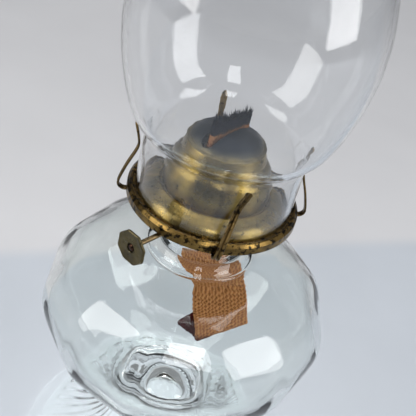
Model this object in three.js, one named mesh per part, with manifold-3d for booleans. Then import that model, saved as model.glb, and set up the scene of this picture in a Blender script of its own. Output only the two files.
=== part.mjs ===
// An antique oil lamp: a pressed-glass foot and bowl, a flat-wick brass burner and a glass chimney.
// Millimetres, +Z up. The origin is on the table, on the lamp's axis. The wick's knob points along -Y.
import * as THREE from "three";
import { mergeVertices } from "three/addons/utils/BufferGeometryUtils.js";
import Module from "manifold-3d";

const wasm = await Module();
wasm.setup();

// ---- Driving dimensions ----

const SEAT_HEIGHT = 190; // the bead round the burner's rim, above the table; other heights start there
const STEM_TOP = -130; // where the bowl is fused to its foot

const FOOT_RADIUS = 74.5;
const STEM_RADIUS = 22;

const BOWL_RADIUS = 74;
const BOWL_PANELS = 12;
const BOWL_CORNER_ANGLE = 24; // degrees from +X to one of the panel corners
const BOWL_WALL = 3;
const NECK_LIP_RADIUS = 18.9;
const NECK_BORE_RADIUS = 17.6;
const NECK_LIP_HEIGHT = -15.2;

const THREAD_RADIUS = 15.4; // middle of the burner's rolled thread
const THREAD_HEIGHT = 0.3;
const THREAD_PITCH = 1.8;
const THREAD_TURNS = [8, 11]; // the thread runs between these multiples of the pitch below the bead
const THREAD_CLEARANCE = 0.9;
const COLLAR_RADIUS = 20.2;

const BRASS_SHEET = 0.5;
const RIM_RADIUS = 41;
const RIM_BAND_FOOT = -4.5;
const SEAT_LEVEL = -1.3; // the flange that the chimney stands on
const CONE_FOOT_RADIUS = 34.8;
const DOME_CREST = 36;
const DOME_SLOT = { length: 33, width: 6.4 };

const WICK = { width: 26, thickness: 2.8, top: 41, length: 150, spread: 1.08 };
const WICK_TUBE = { wall: 0.5, foot: -13, top: 30 };
const WICK_TUBE_INSIDE = { thickness: WICK.thickness + 1, width: WICK.width + 1.8 };
const WICK_TUBE_OUTSIDE = {
  thickness: WICK_TUBE_INSIDE.thickness + 2 * WICK_TUBE.wall,
  width: WICK_TUBE_INSIDE.width + 2 * WICK_TUBE.wall,
};

const SHAFT = { x: 4.1, z: -7, radius: 1.2, innerEnd: 14.5 };
const SPUR_RADIUS = 2.55;
const SPUR_TEETH = 8;
const SPUR_PLACES = [-8, 0, 8];
const KNOB = { y: -55, radius: 8.6, thickness: 1.4, hole: 2.2 };

const PRONG_WIDTH = 3.2;
const PRONG_THICKNESS = 1.1;
const PRONG_ANGLES = [45, 135, 225, 315];
const PRONG_LEANS = [0, 0, 0, 12]; // the last prong has been knocked askew

const CHIMNEY_WALL = 2.2;
const CHIMNEY_TOP = 254;

const LARGE_ROUND = 36; // facets round the glass
const FINE_ROUND = 32; // facets round the large brass pieces
const SMALL_ROUND = 24;
const TINY_ROUND = 12;

// ---- Materials ----

const material = (color, roughness, metalness) => () =>
  new THREE.MeshStandardMaterial({ color, roughness, metalness });

const clearGlass = () => {
  const glass = new THREE.MeshStandardMaterial({ color: 0xe6eeee, roughness: 0.05 });
  glass.transparent = true;
  glass.opacity = 0.35;
  return glass;
};
const agedBrass = material(0x8a7a50, 0.42, 1);
const rimBrass = material(0x8f6b2c, 0.5, 1);
const heatedBrass = material(0x5a5c5c, 0.5, 1);
const darkBrass = material(0x4a3a22, 0.5, 1);
const plaster = material(0xb9b2a0, 0.9, 0);
const copper = material(0x9a5a38, 0.45, 1);
const wovenCotton = material(0x9a5c33, 0.95, 0);

// ---- Shaping helpers ----

const radians = THREE.MathUtils.degToRad;

// Evenly spaced points on a smooth curve through the given [radius, height] points.
function smooth(points, steps) {
  const curve = new THREE.SplineCurve(points.map(([r, z]) => new THREE.Vector2(r, z)));
  return curve.getSpacedPoints(steps).map((point) => [point.x, point.y]);
}

// Points on an arc in the [radius, height] plane, from one angle to another in degrees.
function arc(centreRadius, centreHeight, radius, from, to, steps) {
  return Array.from({ length: steps + 1 }, (_, i) => {
    const angle = radians(from + ((to - from) * i) / steps);
    return [centreRadius + radius * Math.cos(angle), centreHeight + radius * Math.sin(angle)];
  });
}

// The other face of a sheet whose first face is the path; the sheet is on the path's left.
function offsetPath(path, thickness) {
  return path.map(([r, z], i) => {
    const before = path[Math.max(i - 1, 0)];
    const after = path[Math.min(i + 1, path.length - 1)];
    const along = [after[0] - before[0], after[1] - before[1]];
    const length = Math.hypot(...along);
    return [Math.max(r - (along[1] / length) * thickness, 0), z + (along[0] / length) * thickness];
  });
}

const sheetOutline = (path, thickness) => [...path, ...offsetPath(path, thickness).reverse()];

// A body of revolution about Z from a closed [radius, height] outline, listed in either direction.
function turned(outline, segments, startAngle = 0) {
  const turn = outline.reduce((sum, [r, z], i) => {
    const [nextR, nextZ] = outline[(i + 1) % outline.length];
    return sum + r * nextZ - nextR * z;
  }, 0);
  const points = outline.map(([r, z]) => new THREE.Vector2(r, z));
  if (turn < 0) points.reverse();
  if (points[0].x > 0) points.push(points[0].clone());
  const geometry = new THREE.LatheGeometry(points, segments, radians(startAngle + 90));
  return geometry.rotateX(Math.PI / 2);
}

// Moves every vertex to the place that the rule gives for it.
function reshape(geometry, rule) {
  const position = geometry.attributes.position;
  const vertex = new THREE.Vector3();
  for (let i = 0; i < position.count; i++) {
    vertex.fromBufferAttribute(position, i);
    rule(vertex);
    position.setXYZ(i, vertex.x, vertex.y, vertex.z);
  }
  return geometry;
}

function toSolid(geometry) {
  const bare = geometry.clone();
  bare.deleteAttribute("normal");
  bare.deleteAttribute("uv");
  const merged = mergeVertices(bare, 1e-4);
  return new wasm.Manifold(
    new wasm.Mesh({
      numProp: 3,
      vertProperties: merged.attributes.position.array,
      triVerts: new Uint32Array(merged.index.array),
    }),
  );
}

function toGeometry(solid) {
  const { vertProperties, triVerts } = solid.getMesh();
  return new THREE.BufferGeometry()
    .setAttribute("position", new THREE.BufferAttribute(vertProperties, 3))
    .setIndex(new THREE.BufferAttribute(triVerts, 1));
}

const cut = (geometry, tools) =>
  toGeometry(tools.reduce((solid, tool) => solid.subtract(toSolid(tool)), toSolid(geometry)));

const join = (geometry, additions) =>
  toGeometry(additions.reduce((solid, extra) => solid.add(toSolid(extra)), toSolid(geometry)));

// A round rod, or a tool for a round hole, along Z.
const rod = (radius, length, segments = TINY_ROUND) =>
  new THREE.CylinderGeometry(radius, radius, length, segments).rotateX(Math.PI / 2);

// The flat outline of a strip with round ends, across X and along Y.
function roundEndedShape(thickness, width) {
  const radius = thickness / 2;
  const reach = width / 2 - radius;
  const shape = new THREE.Shape();
  shape.absarc(0, reach, radius, 0, Math.PI);
  shape.absarc(0, -reach, radius, Math.PI, 2 * Math.PI);
  return shape;
}

const extruded = (shape, depth, curveSegments = 4) =>
  new THREE.ExtrudeGeometry(shape, { depth, bevelEnabled: false, curveSegments });

const lamp = new THREE.Group();
const burner = new THREE.Group();
burner.position.z = SEAT_HEIGHT;
lamp.add(burner);

function place(group, name, geometry, makeMaterial) {
  const mesh = new THREE.Mesh(geometry, makeMaterial());
  mesh.name = name;
  group.add(mesh);
  return mesh;
}

// ---- Glass foot and bowl ----

// The foot is hollow beneath, and rises from a flat resting ring to the stem under the bowl.
function pedestalFoot() {
  const stemTop = SEAT_HEIGHT + STEM_TOP;
  const underside = smooth([[0, 46], [15, 39], [30, 20], [48, 8], [66, 0]], 5);
  const rim = [[FOOT_RADIUS - 1.2, 0], [FOOT_RADIUS, 1.2], [FOOT_RADIUS, 3], [FOOT_RADIUS - 1.5, 4.8]];
  const slope = smooth([[62.5, 7.8], [46, 14.4], [34, 24], [27, 36], [STEM_RADIUS, 50]], 6);
  const knop = [[STEM_RADIUS + 2, 55], [STEM_RADIUS, stemTop], [0, stemTop]];
  return turned([...underside, ...rim, ...slope, ...knop], LARGE_ROUND);
}

// How far the bowl's section has turned from a circle (0) into a polygon (1) at a height.
function panelShare(z) {
  const { smoothstep } = THREE.MathUtils;
  return smoothstep(z, -122, -96) * (1 - smoothstep(z, -50, -37));
}

// The bowl: flat panels round its belly, a ridge at the root of its neck, and a lip for the collar.
function oilBowl() {
  const belly = smooth(
    [[STEM_RADIUS, STEM_TOP], [40, -118], [57, -106], [69.5, -89], [BOWL_RADIUS, -71], [70, -55.5],
      [60, -44.2], [44, -37], [27.6, -33.9]],
    12,
  );
  const ridge = arc(26, -33.2, 0.9, -20, 90, 2);
  const neck = smooth([[24.4, -32], [21.4, -29], [20.6, -25], [20.4, -21.8]], 3);
  const lip = [[NECK_LIP_RADIUS, -20.8], [NECK_LIP_RADIUS, NECK_LIP_HEIGHT]];
  const bore = [[NECK_BORE_RADIUS, NECK_LIP_HEIGHT], [NECK_BORE_RADIUS, -29]];
  const inside = smooth(
    [[21, -31.3], [28, -36.4], [44, -40.1], [58.4, -46.8], [67, -57], [BOWL_RADIUS - BOWL_WALL, -71],
      [66.6, -87.6], [54.6, -103.4], [38, -114.6], [20, -122]],
    10,
  );
  const outline = [[0, STEM_TOP], ...belly, ...ridge, ...neck, ...lip, ...bore, ...inside, [0, -124]];
  const body = turned(outline, LARGE_ROUND, BOWL_CORNER_ANGLE);
  const panel = (2 * Math.PI) / BOWL_PANELS;
  return reshape(body, (vertex) => {
    const fromCorner = Math.atan2(vertex.y, vertex.x) - radians(BOWL_CORNER_ANGLE);
    const fromMiddle = fromCorner - panel * (Math.floor(fromCorner / panel + 1e-6) + 0.5);
    const flat = Math.cos(panel / 2) / Math.cos(fromMiddle);
    const scale = THREE.MathUtils.lerp(1, flat, panelShare(vertex.z));
    vertex.x *= scale;
    vertex.y *= scale;
  });
}

// A rolled thread: crests and roots in turn about the given radius, listed downwards.
function threadWave(radius) {
  const [first, last] = THREAD_TURNS;
  return Array.from({ length: 2 * (last - first) + 1 }, (_, i) => [
    radius + (i % 2 ? -THREAD_HEIGHT : THREAD_HEIGHT),
    -THREAD_PITCH * (first + i / 2),
  ]);
}

// The brass collar: a channel that is cemented over the bowl's lip, with the thread on its inner wall.
const COLLAR_BORE_BACK = THREAD_RADIUS + THREAD_CLEARANCE + THREAD_HEIGHT + 0.3;
function collar() {
  const inside = COLLAR_RADIUS - BRASS_SHEET;
  const skirt = [[inside, -20.6], [COLLAR_RADIUS, -20.6], [COLLAR_RADIUS, -14.4], [19.5, -13.6]];
  const thread = [[16.8, -13.6], ...threadWave(THREAD_RADIUS + THREAD_CLEARANCE)];
  const back = [[COLLAR_BORE_BACK, -19.8], [COLLAR_BORE_BACK, -14.2], [inside, -14.2]];
  return turned([...skirt, ...thread, ...back], SMALL_ROUND);
}

// Plaster fills the collar's channel on both sides of the glass lip.
function collarCement() {
  const inner = COLLAR_BORE_BACK + 0.1;
  const outer = COLLAR_RADIUS - BRASS_SHEET - 0.2;
  const top = -14.4;
  const foot = -19.7;
  return turned(
    [[inner, foot], [inner, top], [outer, top], [outer, foot],
      [NECK_LIP_RADIUS + 0.2, foot], [NECK_LIP_RADIUS + 0.2, NECK_LIP_HEIGHT + 0.1],
      [NECK_BORE_RADIUS - 0.1, NECK_LIP_HEIGHT + 0.1], [NECK_BORE_RADIUS - 0.1, foot]],
    SMALL_ROUND,
  );
}

place(lamp, "pedestal_foot", pedestalFoot(), clearGlass);
place(burner, "oil_bowl", oilBowl(), clearGlass);
place(burner, "collar", collar(), agedBrass);
place(burner, "collar_cement", collarCement(), plaster);

// ---- Burner body ----

// The threaded skirt that screws into the collar, with a flange under the burner.
function screwBase() {
  const back = THREAD_RADIUS - THREAD_HEIGHT - 0.4;
  const flange = [[15.4, -13.25], [18, -13.25], [18, -12.75], [back, -12.75]];
  const skirtFoot = -THREAD_PITCH * THREAD_TURNS[1];
  return turned([[back, skirtFoot], ...threadWave(THREAD_RADIUS).reverse(), ...flange], SMALL_ROUND);
}

// A disc with a slot for the wick tube; holes lists [x, y, radius].
function slottedPlate(radius, thickness, foot, holes) {
  const edge = Array.from({ length: FINE_ROUND }, (_, i) => {
    const angle = (2 * Math.PI * i) / FINE_ROUND;
    return new THREE.Vector2(radius * Math.cos(angle), radius * Math.sin(angle));
  });
  const disc = new THREE.Shape(edge);
  disc.holes.push(roundEndedShape(WICK_TUBE_OUTSIDE.thickness + 0.6, WICK_TUBE_OUTSIDE.width + 0.6));
  for (const [x, y, holeRadius] of holes) {
    disc.holes.push(new THREE.Path().absarc(x, y, holeRadius, 0, 2 * Math.PI));
  }
  return extruded(disc, thickness, 3).translate(0, 0, foot);
}

// A ring of holes as [x, y, radius], leaving out the ones that fall on the wick's slot.
function holeRing(ringRadius, count, holeRadius) {
  const ring = Array.from({ length: count }, (_, i) => {
    const angle = (2 * Math.PI * (i + 0.5)) / count;
    return [ringRadius * Math.cos(angle), ringRadius * Math.sin(angle), holeRadius];
  });
  return ring.filter(([x, y]) => Math.abs(x) > 5 || Math.abs(y) > 16.5);
}

const VENT = { x: -7, radius: 1.7, bore: 1.2, foot: -13, top: 6 };

// The basket under the rim. Its wall is pierced with air holes and with one hole for the shaft.
function burnerBasket() {
  const wall = smooth([[18.6, -12.5], [25, -11.6], [31, -9.4], [35.4, -6.4], [37.4, -3.9], [37.6, -2.3]], 5);
  const shell = turned(sheetOutline([[15, -12.6], ...wall], BRASS_SHEET), FINE_ROUND);
  const shaftHole = rod(SHAFT.radius + 0.4, 30)
    .rotateX(Math.PI / 2)
    .translate(SHAFT.x, -RIM_RADIUS + 6, SHAFT.z);
  const airHoleCount = 24;
  const airHoles = Array.from({ length: airHoleCount }, (_, i) => {
    const angle = (2 * Math.PI * (i + 0.5)) / airHoleCount;
    return rod(1.3, 6, 6).translate(28 * Math.cos(angle), 28 * Math.sin(angle), -11);
  });
  return cut(shell, [shaftHole, ...airHoles]);
}

// The rim: an upright band, a rolled bead and the flat seat for the chimney.
function galleryRim() {
  const band = [[RIM_RADIUS, RIM_BAND_FOOT], [RIM_RADIUS, -1], [RIM_RADIUS - 0.4, -0.5]];
  const bead = arc(39.3, -0.4, 0.8, 20, 175, 4);
  const seat = [[38.45, SEAT_LEVEL], [31, SEAT_LEVEL]];
  return turned(sheetOutline([...band, ...bead, ...seat], BRASS_SHEET), FINE_ROUND);
}

// The air cone: a dished flange, a groove, a bell, and a short neck that carries the dome.
function airCone() {
  const dish = smooth([[CONE_FOOT_RADIUS, SEAT_LEVEL + 0.3], [33.2, 2.2], [30.4, 4.3], [27.2, 5.5]], 3);
  const groove = [[25.9, 4.8], [25.45, 5.5]];
  const bell = smooth([[25.6, 8], [25.3, 11.5], [23.9, 16.8], [22.2, 19.8], [20.1, 21.9]], 4);
  const neck = [[19.85, 23.2], [18.5, 28.2]];
  return turned(sheetOutline([...dish, ...groove, ...bell, ...neck], BRASS_SHEET), FINE_ROUND);
}

// The deflector dome, with a slot that the wick's flame comes through.
function deflectorDome() {
  const edge = [[18.6, 28.4], [18.4, 29.1], [17.2, 29.5]];
  const crown = smooth([[16.6, 30.4], [13, 33.3], [7.5, 35.3], [0, DOME_CREST]], 5);
  const path = [...edge, ...crown];
  const cap = turned([...offsetPath(path, BRASS_SHEET).reverse(), ...path], SMALL_ROUND);
  const slot = extruded(roundEndedShape(DOME_SLOT.width, DOME_SLOT.length), 12);
  return cut(cap, [slot.translate(0, 0, 27)]);
}

// The flat tube that guides the wick, with a window for each spur wheel.
function wickTube() {
  const outline = roundEndedShape(WICK_TUBE_OUTSIDE.thickness, WICK_TUBE_OUTSIDE.width);
  outline.holes.push(roundEndedShape(WICK_TUBE_INSIDE.thickness, WICK_TUBE_INSIDE.width));
  const tube = extruded(outline, WICK_TUBE.top - WICK_TUBE.foot).translate(0, 0, WICK_TUBE.foot);
  const windows = SPUR_PLACES.map((y) =>
    new THREE.BoxGeometry(2, 2, 2 * SPUR_RADIUS + 1).translate(WICK_TUBE_OUTSIDE.thickness / 2, y, SHAFT.z),
  );
  return cut(tube, windows);
}

function ventTube() {
  return turned(
    [[VENT.bore, VENT.foot], [VENT.radius, VENT.foot], [VENT.radius, VENT.top], [VENT.bore, VENT.top]],
    TINY_ROUND,
  ).translate(VENT.x, 0, 0);
}

const ventHole = [VENT.x, 0, VENT.radius + 0.3];
const diffuserHoles = [...holeRing(13, 6, 2), ...holeRing(21, 8, 2), ...holeRing(29, 12, 2)];

place(burner, "burner_screw_base", screwBase(), agedBrass);
place(burner, "burner_basket", burnerBasket(), agedBrass);
place(burner, "basket_floor", slottedPlate(17, 0.5, -12, [ventHole]), agedBrass);
place(burner, "diffuser_plate", slottedPlate(36.4, 0.4, -2.6, [ventHole, ...diffuserHoles]), darkBrass);
place(burner, "gallery_rim", galleryRim(), rimBrass);
place(burner, "air_cone", airCone(), agedBrass);
place(burner, "deflector_dome", deflectorDome(), heatedBrass);
place(burner, "wick_tube", wickTube(), darkBrass);
place(burner, "vent_tube", ventTube(), darkBrass);

// ---- Prongs ----

// A folded strip: out from under the rim, up, in to the chimney, and out again at its tip.
function prong() {
  const path = smooth(
    [[40.2, -5.4], [42.6, -5.4], [44.7, -4], [45, -1], [42.6, 7.5], [39.6, 15.5], [38.75, 19.5],
      [39.6, 24], [41.8, 31]],
    16,
  );
  const middle = offsetPath(path, -PRONG_THICKNESS / 2);
  const strip = (line, thickness, width) => {
    const shape = new THREE.Shape(sheetOutline(line, thickness).map(([r, z]) => new THREE.Vector2(r, z)));
    return extruded(shape, width).translate(0, 0, -width / 2).rotateX(Math.PI / 2);
  };
  const grooveTool = strip(offsetPath(path, -1.2), 1.2, 0.9);
  return cut(strip(middle, PRONG_THICKNESS, PRONG_WIDTH), [grooveTool]);
}

const PRONG_ROOT = { radius: 41, height: -5.4 };
PRONG_ANGLES.forEach((angle, i) => {
  const arm = prong()
    .translate(-PRONG_ROOT.radius, 0, -PRONG_ROOT.height)
    .rotateX(radians(-PRONG_LEANS[i]))
    .translate(PRONG_ROOT.radius, 0, PRONG_ROOT.height);
  place(burner, `prong_${i + 1}`, arm, rimBrass).rotation.z = radians(angle);
});

// ---- Wick raiser ----

// A brass wheel with sharp teeth that bite the wick through a window in its tube.
function spurWheel() {
  const shape = new THREE.Shape();
  for (let i = 0; i < 2 * SPUR_TEETH; i++) {
    const radius = i % 2 ? SPUR_RADIUS - 0.7 : SPUR_RADIUS;
    const angle = (Math.PI * i) / SPUR_TEETH;
    const corner = [radius * Math.cos(angle), radius * Math.sin(angle)];
    if (i === 0) shape.moveTo(...corner);
    else shape.lineTo(...corner);
  }
  shape.holes.push(new THREE.Path().absarc(0, 0, SHAFT.radius + 0.1, 0, 2 * Math.PI));
  return extruded(shape, 1, 6).translate(0, 0, -0.5).rotateX(Math.PI / 2);
}

// A bracket on the side of the wick tube, bored for the shaft.
function shaftBracket() {
  const tubeFace = WICK_TUBE_OUTSIDE.thickness / 2 + 0.05;
  const depth = SHAFT.x + SHAFT.radius + 1.2 - tubeFace;
  const block = new THREE.BoxGeometry(depth, 1.6, 5).translate(tubeFace + depth / 2, 0, 0);
  const bore = rod(SHAFT.radius + 0.25, 4).rotateX(Math.PI / 2).translate(SHAFT.x, 0, 0);
  return cut(block, [bore]);
}

// The knob: an octagonal plate with a hole in its middle and a short hub behind it.
function knob() {
  const plate = new THREE.Shape();
  for (let i = 0; i < 8; i++) {
    const angle = radians(22.5 + 45 * i);
    const corner = [KNOB.radius * Math.cos(angle), KNOB.radius * Math.sin(angle)];
    if (i === 0) plate.moveTo(...corner);
    else plate.lineTo(...corner);
  }
  plate.holes.push(new THREE.Path().absarc(0, 0, KNOB.hole, 0, 2 * Math.PI));
  const face = extruded(plate, KNOB.thickness, 4).translate(0, 0, -KNOB.thickness / 2);
  const hub = turned([[SHAFT.radius + 0.05, -3], [2.7, -3], [2.9, -0.5], [SHAFT.radius + 0.05, -0.5]], 16);
  return join(face, [hub]).rotateX(Math.PI / 2);
}

// The peened end of the shaft, inside the knob's hole.
function knobRivet() {
  return turned([[0, -0.3], [1.7, -0.3], [1.6, 0.2], [0.9, 0.6], [0, 0.7]], TINY_ROUND).rotateX(Math.PI / 2);
}

const shaftEnd = KNOB.y + 0.4;
const shaftLength = SHAFT.innerEnd - shaftEnd;
const shaftRod = rod(SHAFT.radius, shaftLength).rotateX(Math.PI / 2);
place(burner, "wick_shaft", shaftRod, darkBrass)
  .position.set(SHAFT.x, shaftEnd + shaftLength / 2, SHAFT.z);
SPUR_PLACES.forEach((y, i) => {
  place(burner, `spur_wheel_${i + 1}`, spurWheel(), darkBrass).position.set(SHAFT.x, y, SHAFT.z);
});
[["shaft_bracket_front", -11.8], ["shaft_bracket_rear", 11.8]].forEach(([name, y]) => {
  place(burner, name, shaftBracket(), darkBrass).position.set(0, y, SHAFT.z);
});
place(burner, "wick_knob", knob(), agedBrass).position.set(SHAFT.x, KNOB.y, SHAFT.z);
place(burner, "knob_rivet", knobRivet(), copper).position.set(SHAFT.x, KNOB.y, SHAFT.z);

// ---- Wick ----

// The wick's path: straight through its tube, then aside, and down into the bowl in a straight run.
// Below the tube the knit relaxes and the strip is wider.
const wickBend = [
  new THREE.Vector3(0, 0, -28),
  new THREE.Vector3(0.3, 0.1, -32.5),
  new THREE.Vector3(3.3, 0.9, -37.8),
  new THREE.Vector3(8.8, 2.6, -42.4),
  new THREE.Vector3(12.4, 4.1, -47),
  new THREE.Vector3(13.6, 4.9, -51),
];
const wickRun = new THREE.Vector3(0.206, 0.145, -0.968).normalize();
const wickCurve = new THREE.CatmullRomCurve3(wickBend);
const WICK_STRAIGHT = WICK.top - wickBend[0].z;
const WICK_BEND = wickCurve.getLength();
const WICK_TWIST = -43; // degrees that the strip turns about Z on its way down
const WICK_FOLD = { along: 128.5, slant: radians(19), radius: 2.4 };

// The strip doubles back on itself at a slanting fold: where a point of the flat strip comes to.
function foldStrip(across, along, out) {
  const foldAt = WICK_FOLD.along - across * Math.tan(WICK_FOLD.slant);
  const past = (along - foldAt) * Math.cos(WICK_FOLD.slant);
  if (past <= 0) return [across, along, out];
  const angle = Math.min(past / WICK_FOLD.radius, Math.PI);
  const beyond = Math.max(past - Math.PI * WICK_FOLD.radius, 0);
  const radius = WICK_FOLD.radius + out;
  const shift = radius * Math.sin(angle) - beyond - past;
  const behind = radius * Math.cos(angle) - WICK_FOLD.radius;
  return [across + shift * Math.sin(WICK_FOLD.slant), along + shift * Math.cos(WICK_FOLD.slant), behind];
}

// Where a point of the strip lies: across its width, along its length from the top, out of its face.
function wickPoint(acrossFlat, alongFlat, outFlat) {
  const { clamp, lerp, smoothstep } = THREE.MathUtils;
  const [across, along, out] = foldStrip(acrossFlat, alongFlat, outFlat);
  const share = clamp((along - WICK_STRAIGHT) / WICK_BEND, 0, 1);
  const centre = wickCurve.getPointAt(share);
  const down = wickCurve.getTangentAt(share);
  if (along < WICK_STRAIGHT) {
    centre.set(0, 0, WICK.top - along);
    down.set(0, 0, -1);
  } else if (along > WICK_STRAIGHT + WICK_BEND) {
    centre.addScaledVector(wickRun, along - WICK_STRAIGHT - WICK_BEND);
    down.copy(wickRun);
  }
  const twist = radians(90 + WICK_TWIST * smoothstep(share, 0, 1));
  const wide = new THREE.Vector3(Math.cos(twist), Math.sin(twist), 0);
  wide.addScaledVector(down, -wide.dot(down)).normalize();
  const face = new THREE.Vector3().crossVectors(down, wide);
  const spread = lerp(1, WICK.spread, smoothstep(share, 0.7, 1));
  return centre.addScaledVector(wide, across * spread).addScaledVector(face, out);
}

function wick() {
  const strip = new THREE.BoxGeometry(WICK.width, WICK.length, WICK.thickness, 3, 46, 1);
  return reshape(strip, (vertex) => {
    vertex.copy(wickPoint(vertex.x, WICK.length / 2 - vertex.y, vertex.z));
  });
}

place(burner, "wick", wick(), wovenCotton);

// ---- Chimney ----

// The chimney: a straight base, a bulge and a tapering stack, open at both ends.
function chimney() {
  const base = [[37.7, SEAT_LEVEL + 0.05], [37.5, 14], [37.5, 27]];
  const shoulder = smooth([[37.7, 30], [39, 32.2], [42.6, 35.8], [46.6, 42]], 4);
  const bulge = smooth(
    [[50.2, 52], [53.4, 65], [55, 77], [55.2, 85], [54.2, 98], [50, 116], [42, 136], [33, 156], [27, 176],
      [24.2, 200], [23.4, 228], [23.2, CHIMNEY_TOP]],
    11,
  );
  return turned(sheetOutline([...base, ...shoulder, ...bulge], CHIMNEY_WALL), LARGE_ROUND);
}

place(burner, "chimney", chimney(), clearGlass);

export default lamp;
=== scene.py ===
"""Looks for the oil lamp: smooth glass and brass over the CAD frame, a woven wick, and a soft studio.

The lamp's outlines are in millimetres, as [radius, height], with heights counted from the bead plane,
which is the level of the bead round the burner's rim. Blender objects are in metres, in the row frame.
"""

import math
import random

import bmesh
import bpy
from mathutils import Matrix, Vector, noise


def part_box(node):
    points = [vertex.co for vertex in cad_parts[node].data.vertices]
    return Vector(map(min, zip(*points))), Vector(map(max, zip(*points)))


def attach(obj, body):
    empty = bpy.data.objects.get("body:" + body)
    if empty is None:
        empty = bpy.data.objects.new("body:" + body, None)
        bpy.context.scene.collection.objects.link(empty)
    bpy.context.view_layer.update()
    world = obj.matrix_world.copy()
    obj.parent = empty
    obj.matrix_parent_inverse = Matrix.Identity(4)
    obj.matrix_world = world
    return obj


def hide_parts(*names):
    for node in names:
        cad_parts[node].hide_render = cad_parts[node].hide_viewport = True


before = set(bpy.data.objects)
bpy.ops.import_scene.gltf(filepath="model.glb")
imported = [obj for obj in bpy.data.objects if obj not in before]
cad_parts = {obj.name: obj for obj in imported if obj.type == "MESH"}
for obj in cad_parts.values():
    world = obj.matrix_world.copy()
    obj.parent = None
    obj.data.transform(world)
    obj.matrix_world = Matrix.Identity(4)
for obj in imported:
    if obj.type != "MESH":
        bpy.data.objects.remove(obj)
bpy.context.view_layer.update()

MM = 0.001
WICK_TUBE_TOP = 30  # mm above the bead plane
BEAD_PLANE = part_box("wick_tube")[1].z / MM - WICK_TUBE_TOP  # mm above the table
BURNER_FRAME = Matrix.Translation((0, 0, BEAD_PLANE * MM)) @ Matrix.Scale(MM, 4)

# ---- Driving dimensions, in millimetres ----

BRASS_SHEET = 0.5
RIM_RADIUS = 41
THREAD_RADIUS, THREAD_HEIGHT, THREAD_PITCH = 16.3, 0.3, 1.8  # of the collar's rolled thread
AIR_HOLES, AIR_HOLE_RING, AIR_HOLE_RADIUS = 24, 28, 1.3
SLOT_LENGTH, SLOT_WIDTH = 33, 6.4  # of the dome's slot
BOWL_RADIUS = 74
BOWL_PANELS = 12
BOWL_CORNER_ANGLE = math.radians(24)
FOOT_RADIUS = 74.5
FOOT_FLUTES = 48
CHIMNEY_WALL = 2.2
PRONG_ANGLES = (45, 135, 225, 315)
PRONG_LEANS = (0, 0, 0, 12)  # the last prong has been knocked askew
PRONG_WIDTH, PRONG_THICKNESS = 3.2, 1.1
SHAFT_X, SHAFT_Z, SHAFT_RADIUS, SHAFT_INNER_END = 4.1, -7, 1.2, 14.5
KNOB_Y, KNOB_RADIUS, KNOB_HOLE = -55, 8.6, 2.2
WICK_WIDTH, WICK_THICKNESS, WICK_LENGTH, WICK_TOP = 26, 2.8, 150, 41
WICK_SPREAD = 1.08  # how much wider the relaxed knit is below the tube

ROUND = 160  # facets round a smooth piece
SHARP_ANGLE = 38  # degrees; faces at more than this to each other meet in a sharp edge
FULL_TURN = 2 * math.pi


# ---- Curves ----


def spline(points, density=24):
    """A dense line on the smooth curve through the points."""
    knots = [Vector(p) for p in points]
    last = len(knots) - 1
    line = []
    for i in range(last):
        a, b = knots[i], knots[i + 1]
        slope_a = (b - knots[max(i - 1, 0)]) / 2
        slope_b = (knots[min(i + 2, last)] - a) / 2
        for k in range(density):
            t = k / density
            cubic = 2 * a - 2 * b + slope_a + slope_b
            square = -3 * a + 3 * b - 2 * slope_a - slope_b
            line.append(cubic * t**3 + square * t**2 + slope_a * t + a)
    return line + [knots[last]]


class Path:
    """A smooth curve that can be asked for the point at any distance along it."""

    def __init__(self, points):
        self.line = spline(points)
        self.lengths = [0.0]
        for a, b in zip(self.line, self.line[1:]):
            self.lengths.append(self.lengths[-1] + (b - a).length)
        self.length = self.lengths[-1]

    def at(self, distance):
        """The point and the unit tangent at a distance along the curve."""
        low, high = 0, len(self.line) - 1
        while high - low > 1:
            middle = (low + high) // 2
            if self.lengths[middle] <= distance:
                low = middle
            else:
                high = middle
        a, b = self.line[low], self.line[high]
        share = (distance - self.lengths[low]) / (self.lengths[high] - self.lengths[low])
        return a.lerp(b, min(max(share, 0), 1)), (b - a).normalized()


def smooth(points, steps):
    """Evenly spaced [radius, height] points on the smooth curve through the points."""
    path = Path(points)
    return [tuple(path.at(path.length * i / steps)[0]) for i in range(steps + 1)]


def arc(centre_radius, centre_height, radius, start, end, steps):
    """Points on an arc from one angle to another, in degrees."""
    angles = [math.radians(start + (end - start) * i / steps) for i in range(steps + 1)]
    spokes = [(radius * math.cos(a), radius * math.sin(a)) for a in angles]
    return [(centre_radius + x, centre_height + y) for x, y in spokes]


def offset_path(path, thickness):
    """The other face of a sheet whose first face is the path; the sheet is on the path's left."""
    moved = []
    for i, (radius, height) in enumerate(path):
        before, after = path[max(i - 1, 0)], path[min(i + 1, len(path) - 1)]
        along = (after[0] - before[0], after[1] - before[1])
        length = math.hypot(*along)
        step = thickness / length
        moved.append((max(radius - along[1] * step, 0), height + along[0] * step))
    return moved


def sheet_outline(path, thickness, edge_steps=4):
    """A closed outline of a sheet with rounded edges."""
    other = offset_path(path, thickness)

    def edge(start, end):
        middle = Vector(start).lerp(Vector(end), 0.5)
        spoke = Vector(start) - middle
        turns = [Matrix.Rotation(math.pi * i / edge_steps, 2) for i in range(1, edge_steps)]
        return [tuple(middle + turn @ spoke) for turn in turns]

    return [*path, *edge(path[-1], other[-1]), *reversed(other), *edge(other[0], path[0])]


def smoothstep(value, low, high):
    """Rises smoothly from 0 at low to 1 at high."""
    share = min(max((value - low) / (high - low), 0), 1)
    return share * share * (3 - 2 * share)


def polygon_radius(from_corner, side, softness):
    """How far out a polygon with rounded corners reaches, against the circle through its corners."""
    from_middle = abs(from_corner - side / 2)
    flats = [math.cos(side / 2) / math.cos(gap) for gap in (from_middle, side - from_middle)]
    return sum(flat**-softness for flat in flats) ** (-1 / softness)


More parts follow.
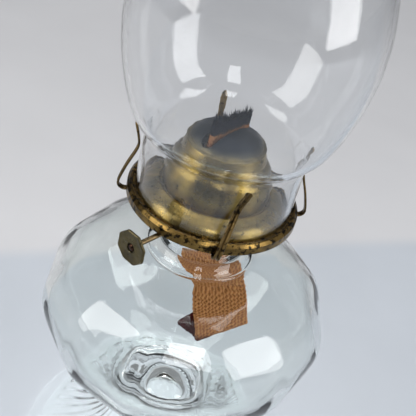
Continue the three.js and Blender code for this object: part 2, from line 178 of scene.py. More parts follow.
def spin(degrees):
    """A turn about the lamp's axis."""
    return Matrix.Rotation(math.radians(degrees), 4, "Z")


# ---- Meshes ----


def make_object(name, bm, transform=BURNER_FRAME, sharp_angle=SHARP_ANGLE):
    """A smooth-shaded object from a bmesh in millimetres, with its place in its vertices."""
    bmesh.ops.recalc_face_normals(bm, faces=bm.faces)
    mesh = bpy.data.meshes.new(name)
    bm.transform(transform)
    bm.to_mesh(mesh)
    bm.free()
    mesh.shade_smooth()
    mesh.set_sharp_from_angle(angle=math.radians(sharp_angle))
    made = bpy.data.objects.new(name, mesh)
    bpy.context.scene.collection.objects.link(made)
    return made


def bridge(bm, ring, after):
    """Faces between two rings of vertices; a ring of one vertex is a pole."""
    count = max(len(ring), len(after))
    for k in range(count):
        here = [ring[k % len(ring)], ring[(k + 1) % len(ring)]]
        there = [after[(k + 1) % len(after)], after[k % len(after)]]
        corners = list(dict.fromkeys(here + there))
        if len(corners) > 2:
            bm.faces.new(corners)


def turned(name, outline, segments=ROUND, rule=None, **settings):
    """A body of revolution from a closed outline. rule(angle, i, radius, height) may move its points."""
    bm = bmesh.new()
    rings = []
    for i, (radius, height) in enumerate(outline):
        if radius < 1e-6:
            rings.append([bm.verts.new((0, 0, height))])
            continue
        ring = []
        for k in range(segments):
            angle = FULL_TURN * k / segments
            r, h = rule(angle, i, radius, height) if rule else (radius, height)
            ring.append(bm.verts.new((r * math.cos(angle), r * math.sin(angle), h)))
        rings.append(ring)
    for ring, after in zip(rings, rings[1:] + rings[:1]):
        bridge(bm, ring, after)
    return make_object(name, bm, **settings)


def swept(name, sections, **settings):
    """A closed body through a list of sections, each a closed list of points."""
    bm = bmesh.new()
    rings = [[bm.verts.new(point) for point in section] for section in sections]
    for ring, after in zip(rings, rings[1:]):
        bridge(bm, ring, after)
    bm.faces.new(rings[0])
    bm.faces.new(reversed(rings[-1]))
    return make_object(name, bm, **settings)


def cut(target, tool):
    """Cuts the tool's shape out of the target's mesh and removes the tool."""
    modifier = target.modifiers.new("cut", "BOOLEAN")
    modifier.operation = "DIFFERENCE"
    modifier.solver = "EXACT"
    modifier.object = tool
    bpy.context.view_layer.update()
    shown = target.evaluated_get(bpy.context.evaluated_depsgraph_get())
    mesh = bpy.data.meshes.new_from_object(shown)
    target.modifiers.clear()
    target.data = mesh
    bpy.data.objects.remove(tool)
    mesh.set_sharp_from_angle(angle=math.radians(SHARP_ANGLE))


def round_holes(name, places, radius, depth):
    """A tool of round rods. places lists a matrix for each rod, which lies along its own Z."""
    bm = bmesh.new()
    for place in places:
        bmesh.ops.create_cone(
            bm, cap_ends=True, segments=24, radius1=radius, radius2=radius, depth=depth, matrix=place
        )
    return make_object(name, bm)


# ---- Materials ----


def new_material(name):
    """A new material, its node tree and its shader."""
    material = bpy.data.materials.new(name)
    material.use_nodes = True
    return material, material.node_tree, material.node_tree.nodes["Principled BSDF"]


def node(tree, kind, inputs=None, **settings):
    """A shader node; inputs maps a socket's name or number to a value or to another node's output."""
    made = tree.nodes.new("ShaderNode" + kind)
    for key, value in settings.items():
        setattr(made, key, value)
    for key, value in (inputs or {}).items():
        if isinstance(value, bpy.types.NodeSocket):
            tree.links.new(value, made.inputs[key])
        else:
            made.inputs[key].default_value = value
    return made


def place_in_lamp(tree, stretch=(1, 1, 1)):
    """The point's place in the lamp's frame, in metres, stretched along each axis."""
    coordinates = node(tree, "TexCoord").outputs["Object"]
    return node(tree, "Mapping", {"Vector": coordinates, "Scale": stretch}).outputs["Vector"]


def speckle(tree, scale, detail=3, roughness=0.55, stretch=(1, 1, 1), distortion=0):
    """Noise from 0 to 1, with a number of features to the metre."""
    inputs = {
        "Vector": place_in_lamp(tree, stretch),
        "Scale": scale,
        "Detail": detail,
        "Roughness": roughness,
        "Distortion": distortion,
    }
    return node(tree, "TexNoise", inputs).outputs["Fac"]


def ramp(tree, value, stops):
    """A colour ramp through (position, colour or grey) stops."""
    made = node(tree, "ValToRGB", {"Fac": value})
    elements = made.color_ramp.elements
    while len(elements) < len(stops):
        elements.new(1)
    for element, (position, colour) in zip(elements, stops):
        element.position = position
        element.color = (*colour, 1) if isinstance(colour, tuple) else (colour, colour, colour, 1)
    return made.outputs["Color"]


def blend_colours(tree, share, first, second):
    """A mix of two colours; the share of the second one may be a value or a node's output."""
    made = node(tree, "Mix", data_type="RGBA", blend_type="MIX")
    for key, value in (("Factor", share), ("A", first), ("B", second)):
        usable = [s for s in made.inputs if s.enabled and s.type in ("VALUE", "RGBA")]
        socket = next(s for s in usable if s.name == key)
        if isinstance(value, bpy.types.NodeSocket):
            tree.links.new(value, socket)
        else:
            socket.default_value = value if key == "Factor" else (*value, 1)
    return next(s for s in made.outputs if s.type == "RGBA" and s.enabled)


def maths(tree, operation, *values):
    return node(tree, "Math", dict(enumerate(values)), operation=operation).outputs[0]


def bump(tree, height, distance, strength=1.0, normal=None):
    inputs = {"Height": height, "Distance": distance, "Strength": strength}
    if normal:
        inputs["Normal"] = normal
    return node(tree, "Bump", inputs).outputs["Normal"]


def radius_and_height(tree):
    """The point's distance from the lamp's axis and its height, in metres."""
    x, y, z = node(tree, "SeparateXYZ", {"Vector": place_in_lamp(tree)}).outputs
    squares = [maths(tree, "MULTIPLY", side, side) for side in (x, y)]
    return maths(tree, "SQRT", maths(tree, "ADD", *squares)), z


def glass_material(name, tint, wave, wave_scale):
    """Clear glass with a slow wave in its surface, seeds, and a trace of handling."""
    material, tree, shader = new_material(name)
    shader.inputs["Transmission Weight"].default_value = 1
    shader.inputs["IOR"].default_value = 1.5
    hazy_tint = tuple(0.965 * c for c in tint)
    colour = ramp(tree, speckle(tree, 38, 4), [(0.35, tint), (0.8, hazy_tint)])
    tree.links.new(colour, shader.inputs["Base Color"])
    smears = ramp(tree, speckle(tree, 90, 5), [(0.45, 0.0), (0.85, 0.06)])
    tree.links.new(smears, shader.inputs["Roughness"])
    slow = bump(tree, speckle(tree, wave_scale, 1), wave)
    tree.links.new(bump(tree, speckle(tree, 260, 1), 0.00002, normal=slow), shader.inputs["Normal"])
    return material


def brass_material(name, light, dark, grime, roughness=(0.2, 0.44), spots=0.62, turned_marks=True):
    """Old brass: patches of patina, dark specks, and the fine rings that turning leaves."""
    material, tree, shader = new_material(name)
    shader.inputs["Metallic"].default_value = 1
    patina = ramp(tree, speckle(tree, 55, 6, 0.62, distortion=0.6), [(0.36, light), (0.66, dark)])
    fine = speckle(tree, 420, 4, 0.6)
    specks = ramp(tree, fine, [(spots, 0.0), (spots + 0.07, 1.0)])
    colour = blend_colours(tree, specks, patina, grime)
    blotch = ramp(tree, speckle(tree, 130, 5, 0.65), [(0.6, 0.0), (0.78, 0.75)])
    darker = tuple(c * 0.45 for c in dark)
    tree.links.new(blend_colours(tree, blotch, colour, darker), shader.inputs["Base Color"])
    rough = ramp(tree, speckle(tree, 85, 5), [(0.3, roughness[0]), (0.75, roughness[1])])
    tree.links.new(rough, shader.inputs["Roughness"])
    height = bump(tree, fine, 0.00006, 0.5)
    if turned_marks:
        radius, level = radius_and_height(tree)
        rings = node(tree, "CombineXYZ", {"X": radius, "Y": level}).outputs[0]
        marks = node(tree, "TexNoise", {"Vector": rings, "Scale": 1800, "Detail": 2}).outputs["Fac"]
        height = bump(tree, marks, 0.00004, 0.6, normal=height)
    tree.links.new(height, shader.inputs["Normal"])
    return material


CLEAR_GLASS = glass_material("pressed_glass", (0.94, 0.965, 0.955), 0.0005, 20)
CHIMNEY_GLASS = glass_material("blown_glass", (0.96, 0.967, 0.972), 0.0003, 14)
AGED_BRASS = brass_material(
    "aged_brass", (0.26, 0.185, 0.055), (0.07, 0.056, 0.026), (0.018, 0.014, 0.008)
)
RIM_BRASS = brass_material(
    "rim_brass", (0.27, 0.17, 0.05), (0.09, 0.058, 0.02), (0.012, 0.009, 0.005), spots=0.5
)
DARK_BRASS = brass_material("dark_brass", (0.2, 0.14, 0.07), (0.08, 0.058, 0.03), (0.02, 0.014, 0.01))
PRONG_BRASS = brass_material(
    "prong_brass", (0.22, 0.145, 0.055), (0.09, 0.06, 0.025), (0.012, 0.009, 0.006), spots=0.55
)
KNOB_BRASS = brass_material(
    "knob_brass", (0.15, 0.12, 0.058), (0.07, 0.058, 0.032), (0.015, 0.012, 0.008)
)
COPPER = brass_material(
    "copper", (0.07, 0.034, 0.02), (0.035, 0.018, 0.012), (0.01, 0.006, 0.005), turned_marks=False
)


def heated_brass_material():
    """The dome: brass turned grey-blue by heat, sooty round the slot and yellower at its foot."""
    material, tree, shader = new_material("heated_brass")
    shader.inputs["Metallic"].default_value = 0.9
    _, level = radius_and_height(tree)
    low, high = (BEAD_PLANE + 28.5) * MM, (BEAD_PLANE + 36.0) * MM  # the dome's foot and its crest
    wobble = maths(tree, "MULTIPLY", maths(tree, "SUBTRACT", speckle(tree, 120, 4), 0.5), 0.004)
    place = maths(tree, "ADD", level, wobble)
    climb = node(tree, "MapRange", {"Value": place, "From Min": low, "From Max": high})
    yellow, brown = (0.13, 0.105, 0.05), (0.05, 0.047, 0.038)
    slate, blue_black = (0.015, 0.019, 0.027), (0.009, 0.012, 0.019)
    bands = [(0.0, yellow), (0.25, brown), (0.5, slate), (1.0, blue_black)]
    heat = ramp(tree, climb.outputs[0], bands)
    soot = ramp(tree, speckle(tree, 210, 5, 0.7), [(0.45, 0.0), (0.75, 0.8)])
    tree.links.new(blend_colours(tree, soot, heat, (0.007, 0.008, 0.011)), shader.inputs["Base Color"])
    rough = ramp(tree, speckle(tree, 150, 4), [(0.3, 0.34), (0.75, 0.62)])
    tree.links.new(rough, shader.inputs["Roughness"])
    tree.links.new(bump(tree, speckle(tree, 500, 4), 0.00012, 0.6), shader.inputs["Normal"])
    return material


def plaster_material():
    """Old plaster, coarse and stained."""
    material, tree, shader = new_material("plaster")
    shade = ramp(tree, speckle(tree, 700, 6, 0.7), [(0.3, (0.55, 0.51, 0.43)), (0.7, (0.38, 0.35, 0.29))])
    tree.links.new(shade, shader.inputs["Base Color"])
    shader.inputs["Roughness"].default_value = 0.9
    tree.links.new(bump(tree, speckle(tree, 1500, 4), 0.0002), shader.inputs["Normal"])
    return material


def cotton_material():
    """Oil-soaked cotton with painted shade between its ribs, and charred towards the top."""
    material, tree, shader = new_material("wick_cotton")
    relief = node(tree, "Attribute", attribute_name="relief").outputs["Fac"]
    char = node(tree, "Attribute", attribute_name="char").outputs["Fac"]
    dark = node(tree, "Attribute", attribute_name="shade").outputs["Fac"]
    # painted shade: the yarn is painted far darker in the gaps between its ribs than on their crests, by
    # the knit's relief
    gap, side, crest = (0.05, 0.019, 0.007), (0.20, 0.09, 0.031), (0.40, 0.21, 0.08)
    yarn = ramp(tree, relief, [(0.15, gap), (0.5, side), (0.95, crest)])
    fibres = speckle(tree, 1800, 4, 0.7, stretch=(1, 1, 0.35))
    stained = ramp(tree, fibres, [(0.3, 0.55), (0.7, 0.0)])
    mottled = blend_colours(tree, stained, yarn, (0.24, 0.085, 0.035))
    # darker, a dark maroon, where the shade attribute is set: on the folded-back flap past the fold and,
    # less, towards the top
    darkened = blend_colours(tree, dark, mottled, (0.035, 0.006, 0.006))
    # charring towards the top, with painted shade: the blackening reaches further into the gaps between
    # the ribs than onto their crests
    heat = maths(tree, "ADD", char, maths(tree, "MULTIPLY", relief, -0.5))
    burnt_and_gap_shade = ramp(tree, heat, [(0.1, 0.0), (0.4, 1.0)])
    charred = ramp(tree, fibres, [(0.3, (0.001, 0.0012, 0.003)), (0.75, (0.004, 0.005, 0.012))])
    tree.links.new(blend_colours(tree, burnt_and_gap_shade, darkened, charred), shader.inputs["Base Color"])
    shader.inputs["Roughness"].default_value = 0.82
    shader.inputs["Specular IOR Level"].default_value = 0.03
    tree.links.new(bump(tree, fibres, 0.0003, 0.7), shader.inputs["Normal"])
    return material


PLASTER = plaster_material()
HEATED_BRASS = heated_brass_material()
COTTON = cotton_material()


def finish_piece(piece, body, slot, material, *replaced):
    """Gives a piece its material, and says what it rides on and which CAD nodes it stands for."""
    piece.data.materials.clear()
    piece.data.materials.append(material)
    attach(piece, body)
    if replaced:
        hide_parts(*replaced)
    return piece


# ---- Glass foot and bowl ----

STEM_TOP = -130


def make_glass():
    """The foot and the bowl, which are fused into one glass: fine flutes below, flat panels above."""
    floor = -BEAD_PLANE
    underside = smooth([(0, 46), (15, 39), (30, 20), (48, 8), (66, 0)], 30)
    edge = FOOT_RADIUS - 0.2
    rim = smooth([(edge - 1.2, 0), (edge, 1.3), (edge, 3), (edge - 1.5, 4.8)], 8)
    slope = smooth([(62.5, 7.8), (46, 14.4), (34, 24), (27, 36), (22, 50)], 48)
    knop = smooth([(22, 50.5), (23.6, 53), (24, 55), (23.6, 57), (22.3, 59.4)], 10)
    foot = [(radius, height + floor) for radius, height in [*underside, *rim, *slope, *knop]]
    belly = smooth(
        [(22.4, STEM_TOP), (40, -118), (57, -106), (69.5, -89), (BOWL_RADIUS, -71), (70, -55.5),
         (60, -44.2), (44, -37), (27.6, -33.9)],
        96,
    )
    ridge = arc(26, -33.2, 0.9, -20, 120, 8)
    neck = smooth([(24.4, -32), (21.4, -29), (20.6, -25), (20.4, -21.8)], 16)
    lip = [(20.1, -21.0), (18.9, -20.8), (18.9, -15.6), (18.6, -15.2), (17.9, -15.2), (17.6, -15.6)]
    inside = smooth(
        [(17.6, -29), (21, -31.3), (28, -36.4), (44, -40.1), (58.4, -46.8), (67, -57), (71, -71),
         (66.6, -87.6), (54.6, -103.4), (38, -114.6), (20, -122), (0, -124)],
        96,
    )
    outline = [*foot, *belly, *ridge, *neck, *lip, *inside]
    first_flute = len(underside) + len(rim)
    fluted = range(first_flute, first_flute + len(slope))
    first_inside = len(outline) - len(inside)
    panel = FULL_TURN / BOWL_PANELS

    def press(angle, i, radius, height):
        if i in fluted:
            depth = 0.9 * smoothstep(radius, 23, 30) * (1 - smoothstep(radius, 60, 62.3))
            return radius, height - depth * abs(math.sin(FOOT_FLUTES * angle / 2)) ** 1.5
        softness = 40 if i >= first_inside else 70
        polygon = polygon_radius((angle - BOWL_CORNER_ANGLE) % panel, panel, softness)
        share = smoothstep(height, -114, -92) * (1 - smoothstep(height, -50, -37))
        return radius * (1 + (polygon - 1) * share), height

    return turned("font_and_foot_glass", outline, 12 * FOOT_FLUTES, press)


glass = finish_piece(make_glass(), "stand", "clear_glass", CLEAR_GLASS, "pedestal_foot", "oil_bowl")
glass.visible_shadow = False  # thin clear glass lets nearly all the light through


# ---- Collar and burner body ----


def make_collar():
    """The collar over the bowl's neck, with the rolled thread on its inner wall."""
    thread = [
        (THREAD_RADIUS + (-THREAD_HEIGHT if i % 2 else THREAD_HEIGHT), -THREAD_PITCH * (8 + i / 2))
        for i in range(7)
    ]
    shoulder = smooth([(20.2, -14.6), (20.0, -14.0), (19.5, -13.6)], 6)
    skirt = [(19.7, -20.6), (20.0, -20.9), (20.2, -20.6), *shoulder]
    back = [(16.9, -19.8), (16.9, -14.2), (19.7, -14.2)]
    return turned("collar_ring", [*skirt, (16.8, -13.6), *thread, *back])


def make_basket():
    """The basket, with its ring of air holes and the hole that the shaft comes through."""
    wall = smooth(
        [(18.6, -12.5), (25, -11.6), (31, -9.4), (35.4, -6.4), (37.4, -3.9), (37.6, -2.3)],
        28,
    )
    basket = turned("basket_shell", sheet_outline([(15, -12.6), *wall], BRASS_SHEET))
    step = 360 / AIR_HOLES
    outwards = Matrix.Translation((AIR_HOLE_RING, 0, -11))
    air_holes = [spin(step * (i + 0.5)) @ outwards for i in range(AIR_HOLES)]
    cut(basket, round_holes("air_hole_tool", air_holes, AIR_HOLE_RADIUS, 6))
    at_rim = Matrix.Translation((SHAFT_X, 6 - RIM_RADIUS, SHAFT_Z))
    shaft_hole = at_rim @ Matrix.Rotation(math.pi / 2, 4, "X")
    cut(basket, round_holes("shaft_hole_tool", [shaft_hole], SHAFT_RADIUS + 0.4, 30))
    return basket


def make_rim():
    """The rim: an upright band, a rolled bead and the seat that the chimney stands on."""
    band = [(RIM_RADIUS, -4.5 + 3.5 * i / 6) for i in range(7)]
    bead = arc(39.3, -0.4, 0.8, 20, 175, 14)
    seat = [(38.45, -1.3), (34, -1.3), (31, -1.3)]
    return turned("rim_band", sheet_outline([*band, (40.6, -0.5), *bead, *seat], BRASS_SHEET))


def make_cone():
    """The air cone: a dished flange, a groove, a bell and a short neck."""
    path = [
        *smooth([(34.8, -1), (33.2, 2.2), (30.4, 4.3), (27.2, 5.5)], 20),
        (26.5, 5.35),
        (25.9, 4.8),
        (25.55, 4.9),
        (25.45, 5.5),
        *smooth([(25.6, 8), (25.3, 11.5), (23.9, 16.8), (22.2, 19.8), (20.1, 21.9)], 28),
        *smooth([(19.85, 22.4), (19.85, 23.2), (18.5, 28.2)], 10),
    ]
    return turned("cone_shell", sheet_outline(path, BRASS_SHEET))


def make_dome():
    """The deflector dome with the wick's slot."""
    edge = smooth([(18.6, 28.4), (18.65, 28.8), (18.2, 29.2), (17.2, 29.5)], 6)
    crown = smooth([(16.6, 30.4), (13, 33.3), (7.5, 35.3), (0, 36)], 24)
    path = [*edge, *crown]
    under = offset_path(path, BRASS_SHEET)
    dome = turned("dome_shell", [*reversed(under), *path])
    radius = SLOT_WIDTH / 2
    reach = (SLOT_LENGTH - SLOT_WIDTH) / 2
    ends = [(math.radians(a), reach if a < 180 else -reach) for a in range(0, 361, 12)]
    outline = [(radius * math.cos(a), radius * math.sin(a) + shift) for a, shift in ends]
    cut(dome, swept("slot_tool", [[(x, y, z) for x, y in outline] for z in (27, 40)]))
    return dome


finish_piece(make_collar(), "stand", "aged_brass", AGED_BRASS, "collar")
finish_piece(make_basket(), "burner", "aged_brass", AGED_BRASS, "burner_basket")
finish_piece(make_rim(), "burner", "rim_brass", RIM_BRASS, "gallery_rim")
finish_piece(make_cone(), "burner", "aged_brass", AGED_BRASS, "air_cone")
finish_piece(make_dome(), "burner", "heated_brass", HEATED_BRASS, "deflector_dome")


# ---- Prongs ----


def prong_section():
    """The strip's section, across and out: rounded edges, and a groove along its outer face."""
    section = []
    for k in range(56):
        turn = FULL_TURN * k / 56
        share = math.cos(turn)  # from one edge to the other
        across = PRONG_WIDTH / 2 * share
        out = math.copysign(PRONG_THICKNESS / 2 * math.sqrt(1 - share**6), math.sin(turn))
        groove = 0.8 * math.exp(-((across / 0.5) ** 2)) if out > 0 else 0
        section.append((across, out - groove))
    return section


def make_prong(number, angle, lean):
    """A folded brass strip: out from under the rim, up, in to the chimney, and out at its tip."""
    path = Path(
        [(40.2, -5.4), (42.6, -5.4), (44.7, -4), (45, -1), (42.6, 7.5), (39.6, 15.5), (38.75, 19.5),
         (39.6, 24), (41.8, 31)]
    )
    steps = 90
    tip = 0.97  # the share of the length at which the strip starts to narrow to a round end
    outline = prong_section()
    sections = []
    for i in range(steps + 1):
        share = i / steps
        centre, along = path.at(path.length * share)
        narrow = math.sqrt(max(1 - ((share - tip) / 0.034) ** 2, 0.05)) if share > tip else 1
        section = [(across * narrow, out * narrow) for across, out in outline]
        sections.append(
            [(centre.x + along.y * out, across, centre.y - along.x * out) for across, out in section]
        )
    root = Matrix.Translation((RIM_RADIUS, 0, -5.4))
    leaning = root @ Matrix.Rotation(math.radians(-lean), 4, "X") @ root.inverted()
    return swept(f"prong_{number}_strip", sections, transform=BURNER_FRAME @ spin(angle) @ leaning)


for index, (angle, lean) in enumerate(zip(PRONG_ANGLES, PRONG_LEANS), 1):
    prong = f"prong_{index}"
    finish_piece(make_prong(index, angle, lean), prong, "rim_brass", PRONG_BRASS, prong)


# ---- Knob and shaft ----

FACING_FRONT = Matrix.Rotation(math.pi / 2, 4, "X")  # a piece turned about Z then faces -Y
KNOB_PLACE = BURNER_FRAME @ Matrix.Translation((SHAFT_X, KNOB_Y, SHAFT_Z)) @ FACING_FRONT


def make_knob():
    """The knob: an octagonal plate with a rounded edge, dented and dished, and a hub behind it."""
    face = [(KNOB_HOLE, 0.35), (KNOB_HOLE + 0.25, 0.6), (4.2, 0.45), (6.6, 0.5), (KNOB_RADIUS - 0.7, 0.7)]
    edge = arc(KNOB_RADIUS - 0.7, 0, 0.7, 80, -80, 10)
    back = [(KNOB_RADIUS - 0.9, -0.7), (4.5, -0.65)]
    hub = [(2.9, -0.7), (2.7, -3), (1.25, -3), (1.25, -0.9), (KNOB_HOLE, -0.6)]
    side = FULL_TURN / 8

    def octagon(angle, i, radius, height):
        polygon = polygon_radius(angle % side, side, 60)
        share = smoothstep(radius, 4.5, 7.4)
        spot = Vector((radius * math.cos(angle), radius * math.sin(angle), 3))
        dent = 0.14 * noise.noise(spot * 0.45)
        return radius * (1 + (polygon - 1) * share), height + dent

    transform = KNOB_PLACE @ Matrix.Rotation(side / 2, 4, "Z")
    corners = face + edge + back + hub
    rows = []
    for a, b in zip(corners, corners[1:] + corners[:1]):
        rows += [tuple(Vector(a).lerp(Vector(b), t / 3)) for t in range(3)]
    return turned("knob_plate", rows, 96, octagon, transform=transform)


def make_shaft():
    """The shaft, with a slightly domed end."""
    length = SHAFT_INNER_END - KNOB_Y
    inner_end = [(0, 0), (1.1, 0), (SHAFT_RADIUS, 0.3)]
    outer_end = [(SHAFT_RADIUS, length - 0.8), (1.0, length - 0.5), (0, length - 0.4)]
    outline = inner_end + outer_end
    transform = BURNER_FRAME @ Matrix.Translation((SHAFT_X, SHAFT_INNER_END, SHAFT_Z)) @ FACING_FRONT
    return turned("shaft_rod", outline, 32, transform=transform)


def make_rivet():
    """The peened end of the shaft, in the knob's hole."""
    outline = [(0, -0.3), (1.7, -0.3), *smooth([(1.72, -0.1), (1.6, 0.2), (0.9, 0.6), (0, 0.7)], 10)]
    return turned("rivet_head", outline, 32, transform=KNOB_PLACE)


finish_piece(make_knob(), "wick_raiser", "aged_brass", KNOB_BRASS, "wick_knob")
finish_piece(make_shaft(), "wick_raiser", "dark_brass", DARK_BRASS, "wick_shaft")
finish_piece(make_rivet(), "wick_raiser", "copper", COPPER, "knob_rivet")


# ---- Wick ----

WICK_BEND = Path(
    [(0, 0, -28), (0.3, 0.1, -32.5), (3.3, 0.9, -37.8), (8.8, 2.6, -42.4), (12.4, 4.1, -47),
     (13.6, 4.9, -51)]
)
WICK_RUN = Vector((0.206, 0.145, -0.968)).normalized()
WICK_STRAIGHT = WICK_TOP + 28
WICK_TWIST = -43  # degrees
FOLD_ALONG, FOLD_SLANT, FOLD_RADIUS = 128.5, math.radians(19), 2.4
KNIT_DEPTH = 0.45


def fold_strip(across, along, out):
    """Where a point of the flat strip comes to when the strip doubles back at its slanting fold."""
    past = (along - FOLD_ALONG + across * math.tan(FOLD_SLANT)) * math.cos(FOLD_SLANT)
    if past <= 0:
        return across, along, out
    angle = min(past / FOLD_RADIUS, math.pi)
    beyond = max(past - math.pi * FOLD_RADIUS, 0)
    shift = (FOLD_RADIUS + out) * math.sin(angle) - beyond - past
    behind = (FOLD_RADIUS + out) * math.cos(angle) - FOLD_RADIUS
    return across + shift * math.sin(FOLD_SLANT), along + shift * math.cos(FOLD_SLANT), behind


def wick_point(across, along, out):
    """Where a point of the strip lies: across its width, along it from the top, out of its face."""
    across, along, out = fold_strip(across, along, out)
    past = min(max(along - WICK_STRAIGHT, 0), WICK_BEND.length)
    centre, down = WICK_BEND.at(past)
    if along < WICK_STRAIGHT:
        centre, down = Vector((0, 0, WICK_TOP - along)), Vector((0, 0, -1))
    elif along > WICK_STRAIGHT + WICK_BEND.length:
        centre = centre + WICK_RUN * (along - WICK_STRAIGHT - WICK_BEND.length)
        down = WICK_RUN
    twist = math.radians(90 + WICK_TWIST * smoothstep(past / WICK_BEND.length, 0, 1))
    wide = Vector((math.cos(twist), math.sin(twist), 0))
    wide = (wide - down * wide.dot(down)).normalized()
    spread = 1 + (WICK_SPREAD - 1) * smoothstep(past / WICK_BEND.length, 0.7, 1)
    return centre + wide * across * spread + down.cross(wide) * out


def knit(across, along):
    """The height of the knitted yarn, from 0 to 1: wavy ribs along the wick, each a row of stitches."""
    rib_pitch, stitch_pitch = 1.7, 2.1
    wander = 0.5 * noise.noise(Vector((across * 0.25, along * 0.12, 1)))
    rib = (across + wander) / rib_pitch
    column = math.floor(rib)
    drift = 0.6 * noise.noise(Vector((column * 3.7, along * 0.1, 5)))
    stitch = along / stitch_pitch + 0.5 * (column % 2) + drift
    waver = 0.25 * noise.noise(Vector((across * 0.9, along * 0.5, 9)))
    sway = 0.22 * math.sin(FULL_TURN * stitch) + waver
    ridge = abs(math.sin(math.pi * (rib + sway)))
    stitches = 0.84 + 0.16 * math.cos(FULL_TURN * stitch)
    return ridge**0.8 * stitches


def wick_section():
    """The section's points: place across, side from 1 to -1, and how far into a rounded edge, 0 to 1."""
    face_points, edge_points = 84, 7
    edge_angles = [math.pi * (k + 1) / (edge_points + 1) for k in range(edge_points)]
    face = [(WICK_WIDTH * (k / (face_points - 1) - 0.5), 1, 0) for k in range(face_points)]
    edge = [(WICK_WIDTH / 2, math.cos(a), math.sin(a)) for a in edge_angles]
    half_way_round = face + edge
    return half_way_round + [(-across, -side, bulge) for across, side, bulge in half_way_round]


def new_facts(bm):
    """The numbers that the cotton's material reads at each vertex."""
    return {name: bm.verts.layers.float.new(name) for name in ("relief", "char", "shade")}


def make_wick():
    """The wick: a closed strip whose faces carry the knit, ragged and charred at its top."""
    rows = 380
    scallop_pitch = 2.6
    half = WICK_THICKNESS / 2 - KNIT_DEPTH
    edge_start = WICK_WIDTH / 2 - half
    section = wick_section()
    bm = bmesh.new()
    facts = new_facts(bm)
    rings = []
    for j in range(rows + 1):
        along = WICK_LENGTH * j / rows
        scallop = 0.25 * math.sin(FULL_TURN * along / scallop_pitch) - 0.25
        ring = []
        for across, face, bulge in section:
            height = knit(across, along)
            place = min(max(across, -edge_start), edge_start)
            place += math.copysign(bulge * (half + scallop), across)
            ragged = 1.3 * noise.noise(Vector((across * 0.5, face, 2))) * max(1 - along / 6, 0)
            slant = 0.055 * across * max(1 - along / 12, 0)
            out = face * (half + KNIT_DEPTH * height)
            vertex = bm.verts.new(wick_point(place, along + ragged + slant, out))
            uneven = 0.6 * noise.noise(Vector((across * 0.6, 0, 8)))
            warmed = 0.35 * (1 - smoothstep(along, 12, 20))
            vertex[facts["relief"]] = height
            vertex[facts["char"]] = 1 - smoothstep(along - uneven, 3.4, 9.5)
            vertex[facts["shade"]] = smoothstep(along, 129, 135) + warmed
            ring.append(vertex)
        rings.append(ring)
    for ring, after in zip(rings, rings[1:]):
        bridge(bm, ring, after)
    bm.faces.new(rings[0])
    bm.faces.new(reversed(rings[-1]))
    return make_object("wick_cloth", bm, sharp_angle=80)


def make_fringe():
    """Charred ends of yarn that stand up along the wick's top edge."""
    chance = random.Random(7)
    bm = bmesh.new()
    facts = new_facts(bm)
    for _ in range(190):
        across = chance.uniform(-12.4, 12.4)
        out = chance.uniform(-1.1, 1.1)
        foot = Vector(wick_point(across, 1.4 + 0.055 * across, out))
        lean = Vector((chance.uniform(-0.5, 0.75), chance.uniform(-0.35, 0.35), 1)).normalized()
        tall = chance.uniform(2.4, 5.2)
        radius = chance.uniform(0.22, 0.42)
        side = lean.orthogonal().normalized()
        rings = []
        for level in (0, 0.35, 0.7):
            spread = radius * (1 - 0.75 * level)
            spokes = [Matrix.Rotation(FULL_TURN * k / 6, 3, lean) @ side for k in range(6)]
            rings.append([bm.verts.new(foot + lean * tall * level + spoke * spread) for spoke in spokes])
        tip = bm.verts.new(foot + lean * tall)
        for ring, after in zip(rings, rings[1:] + [[tip]]):
            bridge(bm, ring, after)
        bm.faces.new(reversed(rings[0]))
    for vertex in bm.verts:
        vertex[facts["char"]] = 1
    return make_object("wick_fringe", bm, sharp_angle=60)


wick_cloth = finish_piece(make_wick(), "wick_strip", "woven_cotton", COTTON, "wick")
wick_fringe = finish_piece(make_fringe(), "wick_strip", "woven_cotton", COTTON)


# ---- Chimney ----


def make_chimney():
    """The chimney: a straight base, a sharp shoulder, a bulge and a tapering stack."""
    base = [(37.7, -1.25), *smooth([(37.65, -0.4), (37.5, 14), (37.5, 26.4)], 16)]
    shoulder = smooth(
        [(37.5, 27.4), (37.75, 30.1), (39, 32.2), (42.6, 35.8), (46.6, 42), (50.2, 52), (53.4, 65),
         (55, 77), (55.2, 85), (54.2, 98), (50, 116), (42, 136), (33, 156), (27, 176), (24.2, 200),
         (23.4, 228), (23.2, 252.8)],
        130,
    )
    return turned("chimney_shell", sheet_outline([*base, *shoulder], CHIMNEY_WALL, 8), 192)


chimney = finish_piece(make_chimney(), "chimney", "chimney_glass", CHIMNEY_GLASS, "chimney")
chimney.visible_shadow = False


# ---- CAD nodes that stay ----

KEPT = {
    "collar_cement": PLASTER,
    "burner_screw_base": AGED_BRASS,
    "basket_floor": AGED_BRASS,
    "diffuser_plate": DARK_BRASS,
    "wick_tube": DARK_BRASS,
    "vent_tube": DARK_BRASS,
    "spur_wheel_1": DARK_BRASS,
    "spur_wheel_2": DARK_BRASS,
    "spur_wheel_3": DARK_BRASS,
    "shaft_bracket_front": DARK_BRASS,
    "shaft_bracket_rear": DARK_BRASS,
}
for name, material in KEPT.items():
    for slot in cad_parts[name].material_slots:
        slot.material = material


# ---- Table, light and camera ----


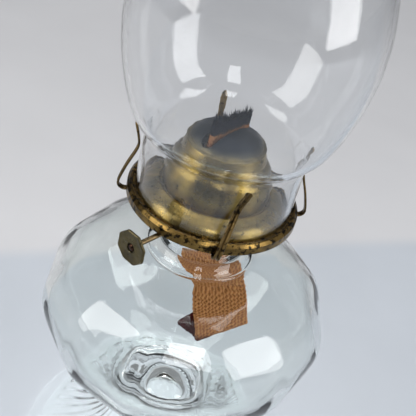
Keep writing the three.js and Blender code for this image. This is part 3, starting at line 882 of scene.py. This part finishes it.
def make_table():
    """A pale tabletop that turns warmer and greyer past a soft line behind the lamp."""
    bm = bmesh.new()
    bmesh.ops.create_grid(bm, x_segments=8, y_segments=8, size=15)
    table = make_object("table_top", bm, transform=Matrix.Identity(4))
    material, tree, shader = new_material("table_top")
    x, y, _ = node(tree, "SeparateXYZ", {"Vector": place_in_lamp(tree)}).outputs
    away_x, away_y = -0.8687, 0.4953  # the level direction across the soft line
    shares = maths(tree, "MULTIPLY", x, away_x), maths(tree, "MULTIPLY", y, away_y)
    inputs = {"Value": maths(tree, "ADD", *shares), "From Min": 0.170, "From Max": 0.190}
    past = node(tree, "MapRange", inputs, interpolation_type="SMOOTHSTEP").outputs[0]
    near = ramp(tree, speckle(tree, 6, 3), [(0.3, (0.50, 0.535, 0.58)), (0.7, (0.55, 0.585, 0.635))])
    far = ramp(tree, speckle(tree, 4, 3), [(0.3, (0.61, 0.61, 0.625)), (0.7, (0.67, 0.67, 0.685))])
    tree.links.new(blend_colours(tree, past, near, far), shader.inputs["Base Color"])
    shader.inputs["Roughness"].default_value = 0.6
    table.data.materials.append(material)


def direction_from(azimuth, elevation):
    """The direction from the lamp to a place at these angles, in radians; azimuth 0 is towards -Y."""
    level = math.cos(elevation)
    return Vector((math.sin(azimuth) * level, -math.cos(azimuth) * level, math.sin(elevation)))


def softbox(name, azimuth, elevation, distance, width, height, power, colour=(1, 1, 1)):
    """A rectangular light that faces the middle of the lamp, at angles in degrees."""
    direction = direction_from(math.radians(azimuth), math.radians(elevation))
    light = bpy.data.lights.new(name, "AREA")
    light.shape = "RECTANGLE"
    light.size, light.size_y = width, height
    light.energy = power
    light.color = colour
    lamp = bpy.data.objects.new(name, light)
    lamp.location = Vector((0, 0, 0.2)) + direction * distance
    lamp.rotation_mode = "QUATERNION"
    lamp.rotation_quaternion = (-direction).to_track_quat("-Z", "Y")
    bpy.context.scene.collection.objects.link(lamp)


def make_camera():
    """The camera: above the lamp, close to it, and rolled."""
    azimuth, elevation, roll = (math.radians(angle) for angle in (35, 35, 14.6))
    target = Vector((-0.6, -0.4, 179.9)) * MM
    back = direction_from(azimuth, elevation)
    camera = bpy.data.cameras.new("camera")
    camera.sensor_width = 36
    camera.lens = 69.2
    camera.clip_start = 0.01
    holder = bpy.data.objects.new("camera", camera)
    holder.location = target + back * 382.8 * MM
    holder.rotation_mode = "QUATERNION"
    level = (-back).to_track_quat("-Z", "Y").to_matrix()
    holder.rotation_quaternion = (level @ Matrix.Rotation(roll, 3, "Z")).to_quaternion()
    bpy.context.scene.collection.objects.link(holder)
    bpy.context.scene.camera = holder


def make_surroundings():
    """A dim pale room, which the glass and the brass reflect."""
    world = bpy.data.worlds.new("studio")
    world.use_nodes = True
    background = world.node_tree.nodes["Background"]
    background.inputs["Color"].default_value = (0.80, 0.82, 0.86, 1)
    background.inputs["Strength"].default_value = 0.34
    bpy.context.scene.world = world
    bpy.context.scene.view_settings.view_transform = "Standard"


make_table()
make_camera()
make_surroundings()
softbox("window_left", -30, 24, 1.5, 0.8, 1.3, 13, (1.0, 0.99, 0.97))
softbox("window_behind_camera", 48, 38, 1.6, 0.35, 0.9, 5)
softbox("window_right", 108, 22, 1.5, 0.8, 1.3, 15)
softbox("ceiling", 215, 72, 1.8, 1.4, 1.0, 9)
